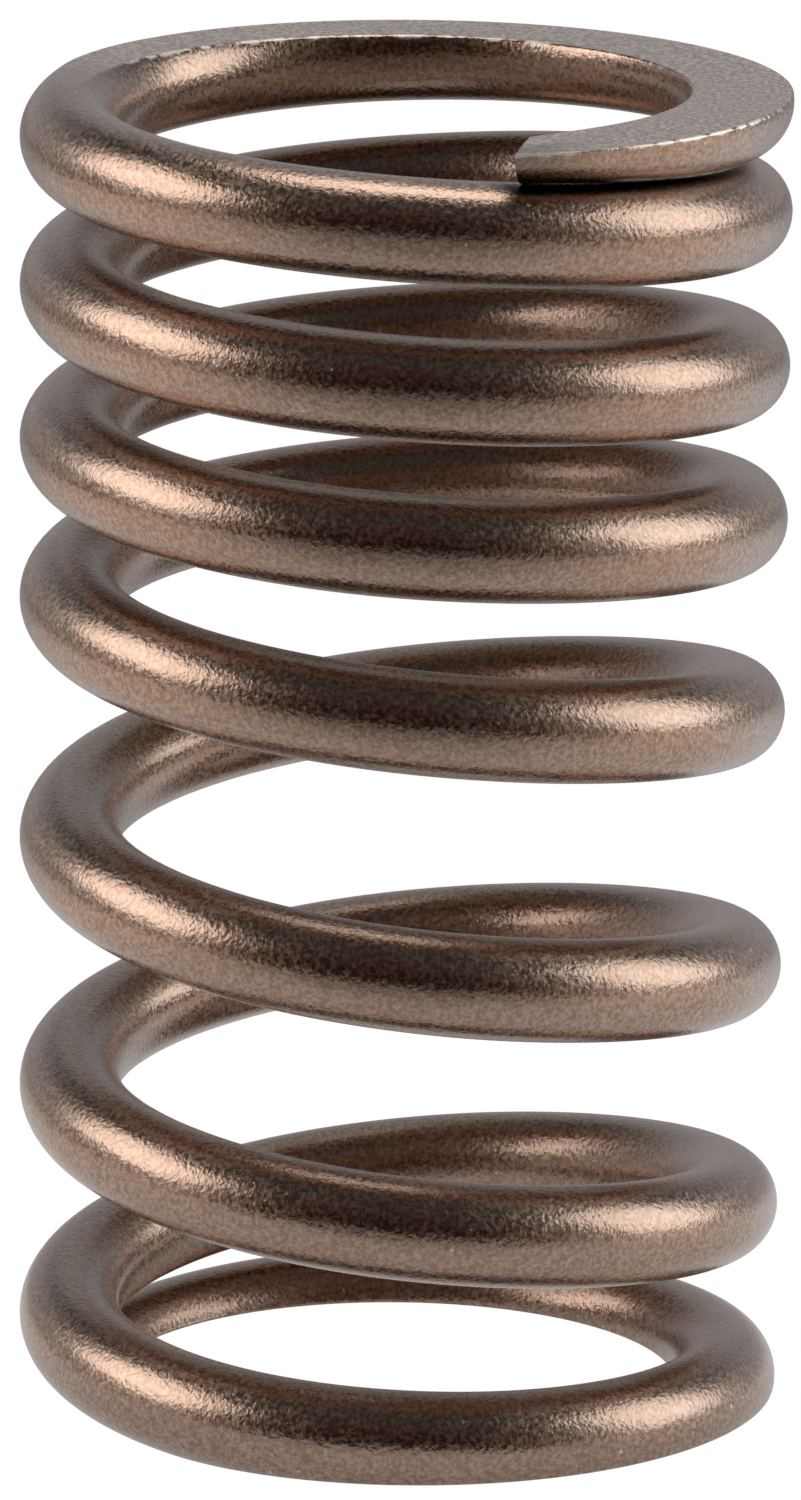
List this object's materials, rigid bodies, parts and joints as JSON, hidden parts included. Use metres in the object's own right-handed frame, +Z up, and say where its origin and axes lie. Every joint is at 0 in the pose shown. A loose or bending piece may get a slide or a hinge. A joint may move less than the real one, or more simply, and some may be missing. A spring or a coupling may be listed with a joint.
{
  "type": "engine valve spring",
  "caption": "Compression coil spring of round wire, wound left-handed, with close coils above, open coils below and closed ends ground flat.",
  "frame": {"origin": "on the coil's axis, in the plane of the bottom ground face", "axes": "+Z up the coil's axis, from the open coils to the close ones; -Y is the side that the picture shows, and the top tip of the wire lies at 74 degrees from +X towards -Y"},
  "size_m": [0.03, 0.03, 0.0523],
  "materials": {
    "spring_wire": "satin, shot-peened spring steel, bronze-brown from heat, with duller grey-taupe ground ends"
  },
  "bodies": {
    "root": {"valve_spring": "spring_wire"}
  },
  "joints": []
}
